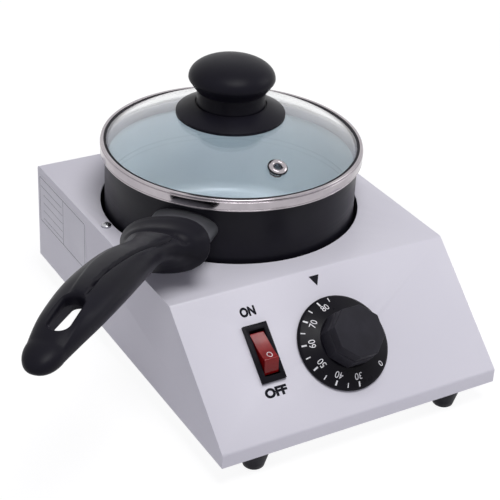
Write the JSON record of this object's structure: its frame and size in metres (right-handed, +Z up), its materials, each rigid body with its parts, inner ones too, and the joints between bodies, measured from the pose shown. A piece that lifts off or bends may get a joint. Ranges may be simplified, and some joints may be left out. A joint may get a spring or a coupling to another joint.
{
  "type": "wax warmer pot",
  "caption": "Single-pot wax warmer: sloped metal heater base with rocker switch and temperature dial, lift-out handled pan and domed glass lid.",
  "frame": {"origin": "on the floor plane that the feet stand on, under the middle of the housing's footprint", "axes": "+Z up, -Y towards the user and the control panel, +X to the user's right; the handle leaves towards -X and -Y"},
  "size_m": [0.29, 0.2805, 0.1706],
  "materials": {
    "housing_paint": "white powder coat, satin, very fine orange peel",
    "zinc_sheet": "zinc-plated sheet steel",
    "steel_screw": "nickel-plated steel",
    "black_rubber": "matt moulded rubber",
    "well_aluminium": "spun aluminium",
    "glass_wool": "woven glass fibre",
    "element_sheath": "oxidised steel sheath",
    "cutout_case": "stamped aluminium case",
    "copper": "bare copper",
    "cream_ceramic": "unglazed steatite",
    "brass": "turned brass",
    "black_nylon": "matt moulded nylon",
    "cream_nylon": "moulded nylon",
    "lamp_glass": "neon lamp glass",
    "brown_wire": "silicone-insulated wire",
    "red_wire": "silicone-insulated wire",
    "blue_wire": "silicone-insulated wire",
    "earth_wire": "silicone-insulated wire",
    "dial_black": "satin black dial with white printed scale",
    "grip_black": "fine-textured black phenolic",
    "rocker_red": "translucent red rocker",
    "pan_enamel": "satin black coating outside, pale grey-blue ceramic coating inside",
    "ferrule_steel": "dark polished steel",
    "handle_black": "glossy black phenolic moulding",
    "rim_steel": "polished stainless steel",
    "lid_glass": "clear tempered glass"
  },
  "bodies": {
    "base": {"housing_shell": "housing_paint", "base_plate": "zinc_sheet", "base_screws": "steel_screw", "rubber_feet": "black_rubber", "foot_screws": "steel_screw", "foot_nuts": "steel_screw", "heating_well": "well_aluminium", "well_screws": "steel_screw", "well_nuts": "steel_screw", "well_insulation": "glass_wool", "heating_element": "element_sheath", "clamp_plate": "zinc_sheet", "clamp_stud": "steel_screw", "clamp_nuts": "steel_screw", "heater_blanket": "glass_wool", "heat_shield": "zinc_sheet", "thermal_cutout": "cutout_case", "sensor_bulb": "copper", "bulb_clip": "steel_screw", "capillary_tube": "copper", "thermostat_body": "cream_ceramic", "thermostat_bush": "brass", "thermostat_screws": "steel_screw", "thermostat_tabs": "brass", "switch_body": "black_nylon", "switch_pin": "steel_screw", "switch_tabs": "brass", "switch_lamp": "lamp_glass", "terminal_block": "cream_nylon", "terminal_screws": "steel_screw", "earth_stud": "steel_screw", "earth_nut": "steel_screw", "wire_live": "brown_wire", "wire_switched": "brown_wire", "wire_heater": "red_wire", "wire_neutral": "blue_wire", "wire_earth": "earth_wire", "gland_body": "black_nylon", "gland_locknut": "black_nylon", "gland_seal": "black_rubber", "gland_cap": "black_nylon"},
    "pan": {"pan_shell": "pan_enamel", "handle_ferrule": "ferrule_steel", "handle_stud": "steel_screw", "handle_grip": "handle_black", "handle_screw": "steel_screw"},
    "lid": {"lid_rim": "rim_steel", "lid_glass": "lid_glass", "vent_seal": "black_rubber", "vent_eyelet": "rim_steel", "knob_base": "handle_black", "lid_knob": "handle_black", "knob_washer": "rim_steel", "knob_screw": "steel_screw"},
    "dial": {"control_shaft": "steel_screw", "knob_insert": "brass", "dial_skirt": "dial_black", "dial_grip": "grip_black"},
    "rocker": {"rocker": "rocker_red"}
  },
  "joints": [
    {"name": "pan_lift", "type": "slide", "parent": "base", "child": "pan", "axis": [0, 0, 1], "range_m": [0, 0.1]},
    {"name": "lid_lift", "type": "slide", "parent": "pan", "child": "lid", "axis": [0, 0, 1], "range_m": [0, 0.09]},
    {"name": "dial_turn", "type": "hinge", "parent": "base", "child": "dial", "pos_m": [0.0012, -0.09371, 0.04864], "axis": [0, -0.661, 0.7504], "range_deg": [-220, 4]},
    {"name": "rocker_tilt", "type": "hinge", "parent": "base", "child": "rocker", "pos_m": [-0.0468, -0.08787, 0.05245], "axis": [1, 0, 0], "range_deg": [0, 30]}
  ]
}
